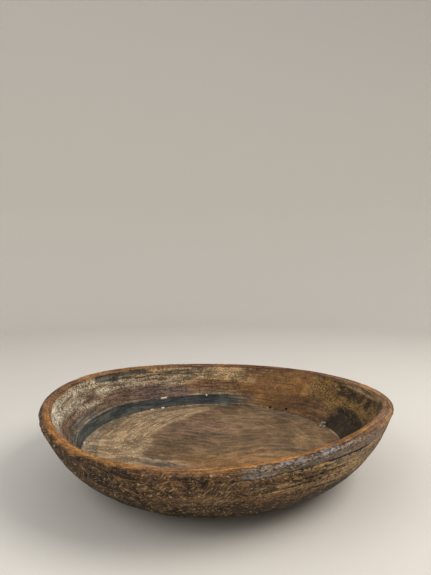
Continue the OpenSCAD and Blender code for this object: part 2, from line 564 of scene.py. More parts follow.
# Outer wall
BARK = finish((147, 114, 80), (64, 48, 32))
# Dark brown wood, made darker still as painted shade on the sides of the outer wall
DARK_BARK_AND_SHADE = finish((66, 43, 21), (22, 14, 6))
OLIVE = finish((82, 54, 19), (37, 24, 9))
PEELED = finish((124, 79, 31), (25, 17, 8))
SLATE = finish((130, 108, 92), (37, 30, 26))
# Pale blue-grey of a painted sheen on the slate
PAINTED_SLATE_SHEEN = finish((164, 159, 160), (52, 45, 43))
AMBER = finish((96, 58, 20), (40, 25, 11))
GOLD_STREAK = finish((202, 166, 113), (47, 37, 27))
# Greyed dark brown of the bottom, darker as painted shade
GREYED_AND_SHADED = finish((36, 28, 18), (10, 8, 5))
# Near black of blackened wood, also used as painted shade on the outer left
BLACKENED_AND_SHADED = finish((50, 32, 13), (13, 9, 5))

# Rim
RIM_BROWN = finish((152, 110, 72), (72, 51, 35))
RIM_ORANGE = finish((192, 130, 61), (108, 72, 36))
RIM_ROSE = finish((158, 117, 80), (100, 72, 52))
RIM_RUSSET = finish((124, 81, 46), (72, 44, 26))

# Hollow
STRAW = finish((212, 201, 174), (88, 73, 56))
CREAM = finish((236, 227, 204), (138, 120, 94))
# Pale grey of rubbed edges, also a painted highlight along them
RUBBED_LINE_AND_HIGHLIGHT = finish((150, 143, 126), (74, 72, 66))
MAUVE = finish((132, 101, 82), (66, 50, 43))
DARK_MAUVE = finish((116, 94, 84), (64, 54, 51))
CHARCOAL = finish((84, 86, 80), (54, 57, 54))
DARK_COVE = finish((57, 62, 62), (37, 40, 39))
KHAKI = finish((192, 162, 116), (90, 67, 44))
RUSSET = finish((130, 89, 53), (62, 42, 29))
GOLDEN = finish((142, 96, 40), (100, 64, 26))
MOTTLED = finish((151, 114, 60), (58, 40, 22))
BLOTCH = finish((62, 45, 26), (29, 21, 12))
SOOT = finish((54, 43, 29), (33, 26, 18))
UMBER = finish((116, 82, 48), (70, 49, 30))

# Floor
WORN_BROWN = finish((128, 102, 73), (85, 65, 45))
TAN = finish((190, 162, 126), (110, 88, 65))
FLOOR_MAUVE = finish((138, 107, 84), (80, 61, 48))
FLOOR_GOLD = finish((152, 113, 69), (102, 74, 44))
FLOOR_SLATE = finish((178, 150, 120), (88, 74, 63))
FLOOR_DIM = finish((100, 82, 63), (50, 42, 34))
FLOOR_SWIRL = finish((146, 119, 86), (88, 68, 48))

# Fillings, and the size of their specks
KNOT_PUTTY = finish((158, 145, 124), (52, 42, 33))
KNOT_SPECK = 0.0022
NICK_PUTTY = finish((206, 192, 170), (120, 98, 76))
NICK_SPECK = 0.0014

# Marks over the colours, and what bare wood adds to them
STROKE = srgb(188, 148, 92)
NICKED = srgb(196, 168, 124)
# Near black of grime, also painted as shade in cracks and worm holes
GRIME_AND_SHADE = srgb(14, 10, 8)
BARE = (0.05, 0.043, 0.032)


class Coat:
    """Finish at every point: two colours that the grain mixes, and masks for how it does so.

    The pattern holds how speckled the grain is, how far it runs around the bowl instead of
    along X, and its gloss. The marks hold scratches, grime with painted shade, and worn wood.
    """

    def __init__(self, surface):
        count = len(surface.way)
        self.surface = surface
        self.ground = np.tile(np.array(BARK[0]), (count, 1))
        self.fleck = np.tile(np.array(BARK[1]), (count, 1))
        self.pattern = np.zeros((count, 3))
        self.marks = np.zeros((count, 3))
        around, spot = surface.around, surface.spot
        self.fray_around = layered(around, (0.09, 0.09, 0.010), 60, 4)
        self.fray_round = layered(spot, 0.030, 63, 4)
        self.fray_grain = layered(spot, (0.10, 0.012, 0.012), 66, 3)
        self.fray_small = layered(spot, 0.012, 69, 3)

    def band(self, first, last, low, high, soft_turn=12, soft_way=0.1, fray=0.12):
        """Share of a patch between two directions and two ways, with frayed edges."""
        turn = self.surface.turn + 25 * fray * self.fray_round
        way = self.surface.way + fray * self.fray_around
        return facing(turn, first, last, soft_turn) * within(way, low, high, soft_way)

    def spot(self, x, y, long, wide, lean=0, fray=0.3):
        """Share of an oval patch on the floor, its long way turned by lean."""
        dx = self.surface.spot[:, 0] - x
        dy = self.surface.spot[:, 1] - y
        c, s = math.cos(math.radians(lean)), math.sin(math.radians(lean))
        away = np.hypot((dx * c + dy * s) / long, (dy * c - dx * s) / wide)
        away = away + fray * self.fray_grain
        return ease(1.5 - away) * (self.surface.way > 4)

    def lay(self, share, colours, strength=1.0, speckle=None, around=None, gloss=None):
        """Lays two colours over a share of the surface, with their pattern if it is given."""
        share = (share * strength)[:, None]
        self.ground += share * (np.array(colours[0]) - self.ground)
        self.fleck += share * (np.array(colours[1]) - self.fleck)
        for k, value in enumerate((speckle, around, gloss)):
            if value is not None:
                self.pattern[:, k] += share[:, 0] * (value - self.pattern[:, k])

    def mark(self, share, scratched=0.0, dirt_and_shade=0.0, wear=0.0):
        """Adds scratches, grime with painted shade, and worn wood over a share of the surface."""
        for k, value in enumerate((scratched, dirt_and_shade, wear)):
            self.marks[:, k] = np.maximum(self.marks[:, k], share * value)

    def store(self):
        self.surface.keep("ground", np.clip(self.ground, 0, 1))
        self.surface.keep("fleck", np.clip(self.fleck, 0, 1))
        self.surface.keep("pattern", np.clip(self.pattern, 0, 1))
        self.surface.keep("marks", np.clip(self.marks, 0, 1))
        self.surface.keep("around", self.surface.around)


def paint_outside(coat):
    """Colours of the underside and the outer wall."""
    coat.lay(coat.band(-180, 180, -1.2, 1.05, 1, 0.02, 0), BARK, 1, 0.35, 0.5, 0.3)
    # Darker wood over the outer left, partly painted shade on that side
    coat.lay(coat.band(130, 244, -0.1, 1.05, 20, 0.2, 0.2), DARK_BARK_AND_SHADE, 0.9, 0.4, 0.6, 0.3)
    coat.lay(coat.band(-126, -104, 0.1, 0.70, 16, 0.2, 0.3), OLIVE, 0.85, 0.25, 0.8, 0.3)
    # Peeled on the left, with worn orange under the rim
    patches = ease(0.5 + 1.6 * coat.fray_round)
    coat.lay(coat.band(160, 246, 0.66, 1.30, 20, 0.2, 0.5) * patches, PEELED, 0.9, 0.85, 0.4, 0.5)
    coat.lay(coat.band(-150, -90, 0.88, 1.50, 14, 0.12, 0.4), PEELED, 0.9, 0.8, 0.4, 0.5)
    coat.lay(coat.band(-112, -92, 1.0, 1.4, 14, 0.12, 0.4), MAUVE, 0.5, 0.5, 0.5, 0.35)
    scorched = coat.band(150, 262, 0.2, 1.28, 20, 0.2, 0.2)
    scorched = np.clip(scorched + 0.7 * coat.band(-110, -60, 0.7, 0.95, 16, 0.1, 0.2), 0, 1)
    coat.lay(scorched * ease(0.36 + 1.8 * coat.fray_small), BLACKENED_AND_SHADED, 0.85, gloss=0.1)
    # Blackened patches on the outer left, laid on thicker as painted shade on that side
    charred_and_shaded = coat.band(176, 232, 0.3, 1.10, 16, 0.2, 0.3) * ease(0.5 + 1.8 * coat.fray_small)
    coat.lay(charred_and_shaded, BLACKENED_AND_SHADED, 0.8, gloss=0.1)
    # Golden streaks low on the right, and an orange-brown place below the crack
    coat.lay(coat.band(-76, 40, 0.22, 0.86, 16, 0.1, 0.25), GOLD_STREAK, 0.95, 0.6, 1.0, 0.3)
    # Darker wood over the right of the outer wall, partly painted shade
    coat.lay(coat.band(-40, 60, 0.1, 1.0, 16, 0.1, 0.25), DARK_BARK_AND_SHADE, 0.6)
    coat.lay(coat.band(-90, -58, 0.34, 0.70, 12, 0.14, 0.35), AMBER, 0.85, 0.6, 0.7, 0.35)
    # Slate-grey patina under the rim at the front right, with paler patches of painted sheen,
    # broken by brown and orange places
    coat.lay(coat.band(-90, -36, 0.87, 1.36, 14, 0.06, 0.3), SLATE, 0.9, 0.9, 0.6, 0.85)
    painted_sheen = coat.band(-86, -50, 1.00, 1.32, 12, 0.12, 0.5) * patches
    coat.lay(painted_sheen, PAINTED_SLATE_SHEEN, 0.85, 0.9, 0.6, 1.0)
    dapples = coat.band(-98, -40, 0.86, 1.5, 12, 0.08, 0.5) * ease(-1.9 * coat.fray_round - 0.1)
    coat.lay(dapples, AMBER, 0.75, 0.9, 0.4)
    # Greyed bottom edge and lower wall, darkened further by painted shade towards the bottom
    coat.lay(coat.band(-180, 180, -0.05, 0.34, 1, 0.2, 0.2), GREYED_AND_SHADED, 0.9, 0.45, 0.5, 0.3)
    coat.lay(coat.band(-112, 20, 0.2, 0.48, 24, 0.14, 0.12), GREYED_AND_SHADED, 0.85)


def paint_rim(coat):
    """Colours of the rounded rim."""
    coat.lay(coat.band(100, 262, 1.10, 2.0, 20, 0.1, 0.2), RIM_BROWN, 1, 0.6, 0.85, 0.3)
    coat.lay(coat.band(120, 170, 1.3, 2.0, 20, 0.3, 0.1), RIM_ORANGE, 0.35, 0.4, 0.9, 0.3)
    coat.lay(coat.band(198, 262, 1.45, 2.0, 20, 0.2, 0.2), RIM_ORANGE, 0.65, 0.6, 0.85, 0.3)
    coat.lay(coat.band(-46, 46, 1.0, 2.0, 12, 0.12, 0.1), RIM_ROSE, 0.95, 0.2, 1.0, 0.25)
    coat.lay(coat.band(36, 112, 1.0, 2.0, 18, 0.12, 0.1), RIM_RUSSET, 0.95, 0.2, 0.95, 0.4)
    coat.lay(coat.band(-156, -112, 1.30, 2.04, 16, 0.2, 0.2), RIM_ORANGE, 0.6, 0.5, 0.8, 0.3)
    coat.lay(coat.band(-122, -88, 1.60, 2.04, 10, 0.10, 0.12), RIM_ORANGE, 0.95, 0.25, 0.95, 0.3)
    coat.lay(coat.band(-96, -42, 1.38, 2.04, 20, 0.12, 0.1), RIM_ORANGE, 0.95, 0.25, 0.95, 0.3)
    dark_edge = coat.band(182, 252, 0.80, 1.42, 16, 0.2, 0.3) * ease(0.8 + 1.6 * coat.fray_small)
    coat.lay(dark_edge, BLACKENED_AND_SHADED, 0.88, 0.6, 0.5, 0.15)


def paint_hollow(coat):
    """Colours of the inner wall and the cove."""
    inside = coat.surface.way > 2.0
    coat.lay(coat.band(-180, 180, 2.0, 4.0, 1, 0.03, 0), KHAKI, 1, 0.6, 0.6, 0.2)
    # Darker wood low on the left, and pale end grain above it
    coat.lay(coat.band(100, 250, 2.36, 3.06, 16, 0.2, 0.2), MAUVE, 0.95, 0.55, 0.95, 0.25)
    coat.lay(coat.band(84, 140, 2.52, 3.0, 16, 0.16, 0.2), DARK_MAUVE, 0.9, 0.25, 0.95, 0.3)
    coat.lay(coat.band(148, 240, 1.96, 2.50, 16, 0.3, 0.45) * inside, STRAW, 0.92, 1.0, 0.6, 0.1)
    coat.lay(coat.band(178, 250, 1.98, 2.34, 14, 0.2, 0.3) * inside, CREAM, 0.85)
    coat.lay(coat.band(104, 156, 2.28, 2.44, 18, 0.12, 0.35), STRAW, 0.5, 0.8, 0.9, 0.15)
    # Khaki strokes high on the back, reddish wood below them, golden wood right of them
    coat.lay(coat.band(62, 108, 2.12, 2.42, 30, 0.16, 0.5), KHAKI, 0.8, 0.6, 0.9, 0.2)
    coat.lay(coat.band(58, 104, 2.44, 2.86, 16, 0.16, 0.2), RUSSET, 0.9, 0.45, 0.95, 0.4)
    coat.lay(coat.band(36, 74, 2.12, 4.0, 16, 0.2, 0.25), GOLDEN, 0.95, 0.15, 0.6, 0.6)
    coat.lay(coat.band(34, 74, 2.0, 2.16, 16, 0.1, 0.2), RUSSET, 0.7, 0.3, 0.8, 0.4)
    coat.lay(coat.band(34, 84, 2.92, 4.0, 16, 0.24, 0.3), UMBER, 0.75, 0.3, 0.8, 0.35)
    # Charcoal under the rim at the back left
    coat.lay(coat.band(98, 158, 2.02, 2.24, 14, 0.1, 0.3), DARK_COVE, 0.9, 0.5, 0.95, 0.25)
    # Mottled wood on the right, with dark blotches
    coat.lay(coat.band(-70, 38, 2.05, 2.85, 14, 0.1, 0.2), MOTTLED, 0.95, 0.9, 0.4, 0.2)
    blotches = coat.band(-14, 24, 2.05, 2.46, 10, 0.12, 0.3) * ease(0.8 + 1.4 * coat.fray_small)
    coat.lay(blotches, BLOTCH, 0.95, 0.6, 0.5, 0.2)
    coat.lay(coat.band(-20, 34, 2.0, 2.14, 12, 0.1, 0.2) * inside, BLOTCH, 0.6)
    coat.lay(coat.band(12, 50, 2.74, 4.0, 10, 0.12, 0.2), UMBER, 0.88, 0.2, 0.7, 0.25)
    coat.mark(coat.band(12, 34, 2.66, 2.71, 8, 0.05, 0.05), wear=0.6)
    # The charcoal cove and the dark scooped place
    coat.lay(coat.band(74, 256, 2.99, 4.02, 34, 0.03, 0.03), CHARCOAL, 1, 0.15, 0.97, 0.3)
    coat.lay(coat.band(80, 124, 3.0, 4.02, 26, 0.03, 0.03), DARK_COVE, 0.85)
    coat.lay(coat.band(166, 256, 2.74, 3.0, 16, 0.1, 0.12), CHARCOAL, 0.7)
    # Pale lines along the cove's top edge and the ridges above it: rubbed wood, and a painted
    # highlight on those edges
    coat.lay(coat.band(136, 256, 2.965, 2.998, 16, 0.03, 0.02), RUBBED_LINE_AND_HIGHLIGHT, 0.85, 0.6, 0.9, 0.2)
    coat.lay(coat.band(150, 246, 2.80, 2.84, 16, 0.04, 0.06), RUBBED_LINE_AND_HIGHLIGHT, 0.5, 0.6, 0.9, 0.2)
    coat.lay(coat.band(160, 246, 2.90, 2.925, 16, 0.03, 0.03), RUBBED_LINE_AND_HIGHLIGHT, 0.6, 0.6, 0.9, 0.2)
    high_soot = coat.band(-74, 18, 2.66, 4.0, 5, 0.06, 0.08)
    low_soot = coat.band(-74, 21, 2.98, 4.0, 5, 0.2, 0.06)
    sooty = np.maximum(high_soot, low_soot) * facing(coat.surface.turn, -42, 60, 50)
    coat.lay(sooty, SOOT, 0.97, 0.2, 0.6, 0.25)


def paint_floor(coat):
    """Colours of the floor."""
    floor = (coat.surface.way > 3.995).astype(float)
    coat.lay(floor, WORN_BROWN, 1, 0.1, 0.0, 0.3)
    coat.lay(coat.spot(0.0, -0.085, 0.13, 0.05, 0, 0.4), FLOOR_GOLD, 0.85, 0.05, 0, 0.4)
    coat.lay(coat.spot(-0.045, 0.060, 0.055, 0.05, 20, 0.5), FLOOR_MAUVE, 0.8, 0.2, 0.0, 0.3)
    coat.lay(coat.spot(0.140, -0.005, 0.04, 0.08, 0, 0.5), UMBER, 0.45, 0.1, 0.0, 0.3)
    swirl = coat.band(-8, 88, 4.10, 4.46, 26, 0.16, 0.3) * floor
    coat.lay(swirl, FLOOR_SWIRL, 0.6, 0.1, 0.85, 0.25)
    coat.lay(coat.spot(-0.012, 0.043, 0.026, 0.012, 8, 0.4), FLOOR_DIM, 0.5)
    coat.lay(coat.spot(0.111, -0.028, 0.030, 0.014, -12, 0.4), FLOOR_DIM, 0.5)
    x, y = coat.surface.spot[:, 0], coat.surface.spot[:, 1]
    edge_x = -0.098 + 3.8 * np.clip(y, 0, 1) ** 2
    scraped = ease((edge_x - x + 0.007 * coat.fray_round) / 0.014) * ease((y + 0.14) / 0.06)
    coat.lay(scraped * floor, TAN, 0.97, 0.4, 0.15, 0.2)
    turned = scraped * ease((y + 0.015) / 0.05)
    coat.pattern[:, 1] += turned * floor * (0.95 - coat.pattern[:, 1])
    coat.mark(turned * floor, scratched=0.6)
    coat.lay(coat.band(146, 250, 3.9, 4.09, 20, 0.12, 0.14) * floor, CHARCOAL, 0.55)
    dim_edge = coat.band(34, 124, 4.0, 4.10, 20, 0.1, 0.08) * floor
    coat.lay(dim_edge, FLOOR_DIM, 0.8, 0.3, 0.4, 0.25)
    coat.lay(coat.spot(-0.080, -0.072, 0.045, 0.022, -14, 0.5), FLOOR_SLATE, 0.9, 0.15, 0.1, 0.3)
    coat.mark(coat.spot(-0.110, -0.056, 0.012, 0.005, -10, 0.5), wear=0.9)
    coat.mark(coat.band(96, 256, 4.0, 4.03, 20, 0.03, 0.02), wear=0.6)
    coat.mark(coat.band(-30, 18, 3.990, 4.006, 8, 0.006, 0.002), wear=1.0)
    coat.mark(coat.band(170, 206, 4.0, 4.07, 12, 0.04, 0.05) * floor, wear=0.8)


def paint_marks(coat):
    """Cracks, grime, wear and scratches over the colours, with painted shade in the cracks and
    worm holes.
    """
    surface = coat.surface
    # Cracks and checks blackened: grime in them, and painted shade inside the gap
    coat.mark(ease(crack_depth(surface) * 1.6 - 0.12), dirt_and_shade=1.0)
    # Darker lines in the step inside the rim and along the floor's edge
    coat.mark(coat.band(150, 226, 2.03, 2.05, 20, 0.03, 0.01), dirt_and_shade=0.25)
    coat.mark(coat.band(20, 84, 3.985, 4.004, 10, 0.02, 0.0), dirt_and_shade=0.5)
    coat.mark(coat.band(150, 250, 2.01, 2.03, 16, 0.02, 0.01), wear=0.7)
    coat.mark(coat.band(-180, 180, 0.9, 1.12, 1, 0.12, 0.1), wear=0.3)
    coat.mark(coat.band(-150, -60, 0.15, 0.98, 18, 0.2, 0.1), scratched=1.0)
    coat.mark(coat.band(-180, 180, -0.1, 1.25, 1, 0.2, 0.1), scratched=0.7)
    coat.mark(coat.band(-180, 180, 2.05, 2.95, 1, 0.2, 0.1), scratched=0.35)
    coat.mark(within(surface.way, 4.02, 5.2, 0.04), scratched=0.16)
    # Worm holes blackened with painted shade inside them
    for way, turn in WORM_HOLES:
        away = np.linalg.norm(surface.spot - place(np.array(way), np.array(turn)), axis=1)
        coat.mark(ease(2.0 - away / WORM_HOLE_R), dirt_and_shade=1.0)


# ---------------------------------------------------------------- shader helpers
def add(tree, kind, sockets=None, **settings):
    """A new node in a tree. Sockets holds a value or a source socket for each input."""
    made = tree.nodes.new(kind)
    for name, value in settings.items():
        setattr(made, name, value)
    for key, value in (sockets or {}).items():
        if isinstance(value, bpy.types.NodeSocket):
            tree.links.new(value, made.inputs[key])
        else:
            made.inputs[key].default_value = value
    return made


def maths(tree, operation, a, b=0.0):
    return add(tree, "ShaderNodeMath", {0: a, 1: b}, operation=operation).outputs[0]


def plus(tree, a, b):
    return maths(tree, "ADD", a, b)


def minus(tree, a, b):
    return maths(tree, "SUBTRACT", a, b)


def times(tree, a, b):
    return maths(tree, "MULTIPLY", a, b)


def on_vectors(tree, operation, *values):
    """A sum on two or three vectors."""
    sockets = dict(enumerate(values))
    return add(tree, "ShaderNodeVectorMath", sockets, operation=operation).outputs[0]


def step(tree, value, low, high, to_low=0.0, to_high=1.0):
    """A smooth step of a value from low to high."""
    sockets = {
        "Value": value,
        "From Min": low,
        "From Max": high,
        "To Min": to_low,
        "To Max": to_high,
    }
    made = add(tree, "ShaderNodeMapRange", sockets, interpolation_type="SMOOTHSTEP")
    return made.outputs["Result"]


def soft_step(tree, value, level, softness):
    """A smooth step about a level, reaching a softness to either side of it."""
    return step(tree, value, minus(tree, level, softness), plus(tree, level, softness))


def between(tree, share, a, b):
    """A value that goes from a to b by a share."""
    return add(tree, "ShaderNodeMix", {0: share, 2: a, 3: b}).outputs[0]


def blend(tree, share, a, b, way="MIX"):
    """Colour b over colour a by a share."""
    mixed = add(tree, "ShaderNodeMix", data_type="RGBA", blend_type=way)
    for socket, value in ((0, share), (6, a), (7, b)):
        if isinstance(value, bpy.types.NodeSocket):
            tree.links.new(value, mixed.inputs[socket])
        elif socket == 0:
            mixed.inputs[0].default_value = value
        else:
            mixed.inputs[socket].default_value = (*value, 1.0)
    return mixed.outputs[2]


def centred(tree, parts, middle):
    """A middle value pushed up and down by masks that are even about a half."""
    total = middle
    for value, amount in parts:
        push = times(tree, minus(tree, value, 0.5), amount)
        total = plus(tree, total, push)
    return total


def darken(tree, light, mask, amount):
    """A light value taken down by an amount where a mask is 1."""
    return times(tree, light, minus(tree, 1.0, times(tree, mask, amount)))


def lit(tree, colour, light):
    """A colour made darker or lighter by a light value."""
    grey = add(tree, "ShaderNodeCombineColor", {0: light, 1: light, 2: light}).outputs[0]
    return blend(tree, 1.0, colour, grey, "MULTIPLY")


def bump(tree, shader, height, strength, distance):
    """Gives the shader a surface that rises and falls with a height."""
    sockets = {"Height": height, "Strength": strength, "Distance": distance}
    made = add(tree, "ShaderNodeBump", sockets)
    tree.links.new(made.outputs["Normal"], shader.inputs["Normal"])


def noise_of(tree, vector, stretch, detail=3.0, rough=0.5, distortion=0.0):
    """Noise over a vector stretched by three factors, in lumps per metre."""
    sockets = {
        "Vector": on_vectors(tree, "MULTIPLY", vector, stretch),
        "Scale": 1.0,
        "Detail": detail,
        "Roughness": rough,
        "Distortion": distortion,
    }
    return add(tree, "ShaderNodeTexNoise", sockets).outputs[0]


def even_noise(tree, vector, size, detail):
    """Rough noise in lumps of one size in every direction."""
    scale = maths(tree, "DIVIDE", 1.0, size)
    sockets = {"Vector": vector, "Scale": scale, "Detail": detail, "Roughness": 0.65}
    return add(tree, "ShaderNodeTexNoise", sockets).outputs[0]


def new_group(name, output="Mask", **inputs):
    """A shader node group with one output. Returns it with its inner sockets at either end.

    An input given as a float holds a number. Any other holds a vector.
    """
    kinds = {True: "NodeSocketFloat", False: "NodeSocketVector"}
    group = bpy.data.node_groups.new(name, "ShaderNodeTree")
    new_socket = group.interface.new_socket
    for label, value in inputs.items():
        kind = kinds[isinstance(value, float)]
        socket = new_socket(name=label, in_out="INPUT", socket_type=kind)
        if value is not None:
            socket.default_value = value
    new_socket(name=output, in_out="OUTPUT", socket_type=kinds[output == "Mask"])
    given = group.nodes.new("NodeGroupInput").outputs
    out = group.nodes.new("NodeGroupOutput").inputs
    return group, given, out


# Lumps per metre of each pattern along X, Y and Z. On coordinates that run around the bowl, Z is
# the distance along its outline.
GRAIN = (20, 140, 140)
ROUND_STREAKS = (16, 16, 300)
END_GRAIN = (260, 260, 500)
MOTTLE = (190, 190, 190)
CLOUDS = (44, 44, 44)
FINE_GRAIN = (70, 230, 230)
FINE_ROUNDS = (30, 30, 400)
SHADING = (13, 13, 13)
PORES = (380, 380, 540)
TOOL_ARCS = (10, 10, 210)
FURROWS = (24, 120, 120)
DARK_STROKES = (90, 90, 560)
PALE_STROKES = (100, 100, 620)
STROKE_PLACES = (24, 24, 24)
FLAKES = (320, 320, 430)
HAIRLINES = (24, 30, 50)
HAIRLINE_BREAKS = (55, 55, 55)
NICKS = (250, 250, 250)
DENTS = (120, 120, 120)
CRUMBS = (900, 900, 900)
# Degrees that the rising and the falling strokes lean by
RISING = 48
FALLING = -55


def streaks_group():
    """Long soft streaks, drawn out along the axis whose stretch is small."""
    inputs = {"Vector": None, "Stretch": (10, 200, 200), "Contrast": 0.15}
    group, given, out = new_group("streaks", **inputs)
    value = noise_of(group, given["Vector"], given["Stretch"], 5.0, 0.62, 0.15)
    group.links.new(soft_step(group, value, 0.5, given["Contrast"]), out["Mask"])
    return group


def specks_group():
    """Small specks that cover a share of the surface."""
    inputs = {"Vector": None, "Size": 0.004, "Share": 0.5, "Softness": 0.08}
    group, given, out = new_group("specks", **inputs)
    value = even_noise(group, given["Vector"], given["Size"], 3.0)
    level = minus(group, 0.72, times(group, given["Share"], 0.44))
    group.links.new(soft_step(group, value, level, given["Softness"]), out["Mask"])
    return group


def hairlines_group():
    """Thin wandering lines, as old scratches leave."""
    inputs = {"Vector": None, "Stretch": (30, 30, 30), "Width": 0.012}
    group, given, out = new_group("hairlines", **inputs)
    value = noise_of(group, given["Vector"], given["Stretch"], 2.0, 0.5, 0.6)
    away = maths(group, "ABSOLUTE", minus(group, value, 0.5))
    line = minus(group, 1.0, step(group, away, 0.0, given["Width"]))
    broken = step(group, noise_of(group, given["Vector"], HAIRLINE_BREAKS, 2.0), 0.46, 0.58)
    group.links.new(times(group, line, broken), out["Mask"])
    return group


def grooves_group():
    """Thin lines of even width, drawn out along the axes whose stretch is small."""
    inputs = {"Vector": None, "Stretch": (10, 150, 150), "Width": 0.05}
    group, given, out = new_group("grooves", **inputs)
    value = noise_of(group, given["Vector"], given["Stretch"], 2.0, 0.5, 0.1)
    away = maths(group, "ABSOLUTE", minus(group, value, 0.5))
    group.links.new(step(group, away, 0.01, given["Width"], 1.0, 0.0), out["Mask"])
    return group


def strokes_group():
    """Short thin strokes that run around the bowl, or lean from that by an angle."""
    group, given, out = new_group("strokes", Vector=None, Angle=0.0)
    sockets = {"Vector": given["Vector"], "Angle": given["Angle"]}
    leaning = add(group, "ShaderNodeVectorRotate", sockets, rotation_type="Y_AXIS").outputs[0]
    value = noise_of(group, leaning, PALE_STROKES, 2.0, 0.6)
    group.links.new(step(group, value, 0.588, 0.63), out["Mask"])
    return group


def frayed_group():
    """A soft mask given a ragged edge."""
    inputs = {"Vector": None, "Mask": 0.5, "Size": 0.006, "Softness": 0.1}
    group, given, out = new_group("frayed", **inputs)
    value = even_noise(group, given["Vector"], given["Size"], 4.0)
    total = plus(group, given["Mask"], times(group, minus(group, value, 0.5), 2.4))
    ragged = soft_step(group, total, 0.62, given["Softness"])
    covered = times(group, ragged, step(group, given["Mask"], 0.02, 0.2))
    group.links.new(covered, out["Mask"])
    return group


def bent_group():
    """Coordinates pushed about by noise, so that a pattern on them swirls."""
    inputs = {"Vector": None, "Scale": 14.0, "Amount": 0.03}
    group, given, out = new_group("bent", "Vector", **inputs)
    sockets = {"Vector": given["Vector"], "Scale": given["Scale"], "Detail": 2.0}
    push = add(group, "ShaderNodeTexNoise", sockets).outputs["Color"]
    push = on_vectors(group, "SUBTRACT", push, (0.5, 0.5, 0.5))
    sockets = {0: push, "Scale": given["Amount"]}
    push = add(group, "ShaderNodeVectorMath", sockets, operation="SCALE").outputs[0]
    group.links.new(on_vectors(group, "ADD", given["Vector"], push), out["Vector"])
    return group


def use(tree, group, **sockets):
    """A group placed in a material, with its values. Returns its first output."""
    made = add(tree, "ShaderNodeGroup", node_tree=group)
    for label, value in sockets.items():
        if isinstance(value, bpy.types.NodeSocket):
            tree.links.new(value, made.inputs[label])
        else:
            made.inputs[label].default_value = value
    return made.outputs[0]


def new_material(name):
    material = bpy.data.materials.new(name)
    material.use_nodes = True
    tree = material.node_tree
    shader = tree.nodes["Principled BSDF"]
    coords = add(tree, "ShaderNodeTexCoord").outputs["Object"]
    return material, tree, shader, coords


def stored(tree, name):
    """Three values that the mesh keeps for every point, as a vector and as its parts."""
    vector = add(tree, "ShaderNodeAttribute", attribute_name=name).outputs["Vector"]
    parts = add(tree, "ShaderNodeSeparateXYZ", {0: vector}).outputs
    return vector, parts


